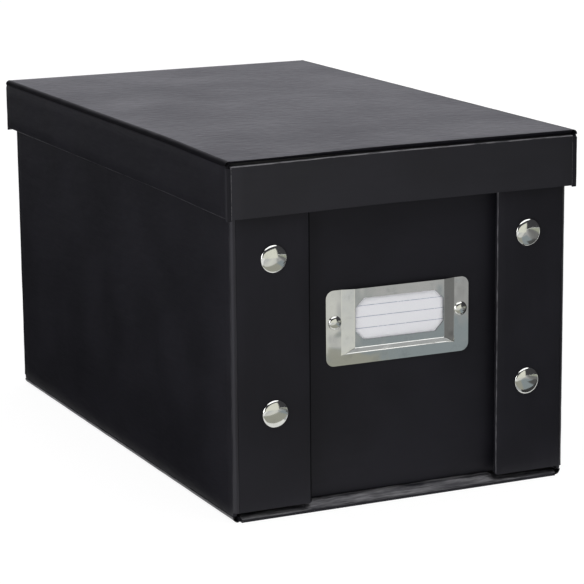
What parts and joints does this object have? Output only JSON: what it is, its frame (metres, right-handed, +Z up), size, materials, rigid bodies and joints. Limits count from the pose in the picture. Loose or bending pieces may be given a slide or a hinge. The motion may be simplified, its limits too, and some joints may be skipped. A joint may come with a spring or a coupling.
{
  "type": "lidded disc storage box",
  "caption": "Deep lidded box of covered board with fold-round corner flaps on press studs and a riveted metal label holder on the front.",
  "frame": {"origin": "middle of the underside, on the ground", "axes": "+Z up, +Y runs from the front with the label holder to the back, +X to the right seen from the front"},
  "size_m": [0.16, 0.264, 0.15],
  "materials": {
    "board_black": "board covered in black leatherette paper with a fine grain, low sheen",
    "paper_black": "black leatherette paper folded as a hinge, creased, low sheen",
    "lining_black": "smooth matt black lining paper",
    "nickel": "bright nickel plate on pressed steel, lightly rubbed",
    "card_white": "smooth white card"
  },
  "bodies": {
    "box": {"back_board": "board_black", "back_left_corner_fold": "paper_black", "back_left_flap": "board_black", "back_lining": "lining_black", "back_right_corner_fold": "paper_black", "back_right_flap": "board_black", "back_snap_caps": "nickel", "back_snap_eyelets": "nickel", "back_snap_sockets": "nickel", "back_snap_studs": "nickel", "base_back_fold": "paper_black", "base_board": "board_black", "base_front_fold": "paper_black", "base_left_fold": "paper_black", "base_lining": "lining_black", "base_right_fold": "paper_black", "front_board": "board_black", "front_left_corner_fold": "paper_black", "front_left_flap": "board_black", "front_lining": "lining_black", "front_right_corner_fold": "paper_black", "front_right_flap": "board_black", "front_snap_caps": "nickel", "front_snap_eyelets": "nickel", "front_snap_sockets": "nickel", "front_snap_studs": "nickel", "holder_rivets": "nickel", "label_holder": "nickel", "left_board": "board_black", "left_lining": "lining_black", "right_board": "board_black", "right_lining": "lining_black", "rivet_washers": "nickel"},
    "lid": {"lid_back_fold": "paper_black", "lid_back_left_corner": "paper_black", "lid_back_right_corner": "paper_black", "lid_back_skirt": "board_black", "lid_board": "board_black", "lid_front_fold": "paper_black", "lid_front_left_corner": "paper_black", "lid_front_right_corner": "paper_black", "lid_front_skirt": "board_black", "lid_left_fold": "paper_black", "lid_left_skirt": "board_black", "lid_lining": "lining_black", "lid_right_fold": "paper_black", "lid_right_skirt": "board_black"},
    "card": {"label_card": "card_white"}
  },
  "joints": [
    {"name": "lid_lift", "type": "slide", "parent": "box", "child": "lid", "axis": [0, 0, 1], "range_m": [0, 0.08]},
    {"name": "card_slide", "type": "slide", "parent": "box", "child": "card", "axis": [0, 0, 1], "range_m": [0, 0.028]}
  ]
}
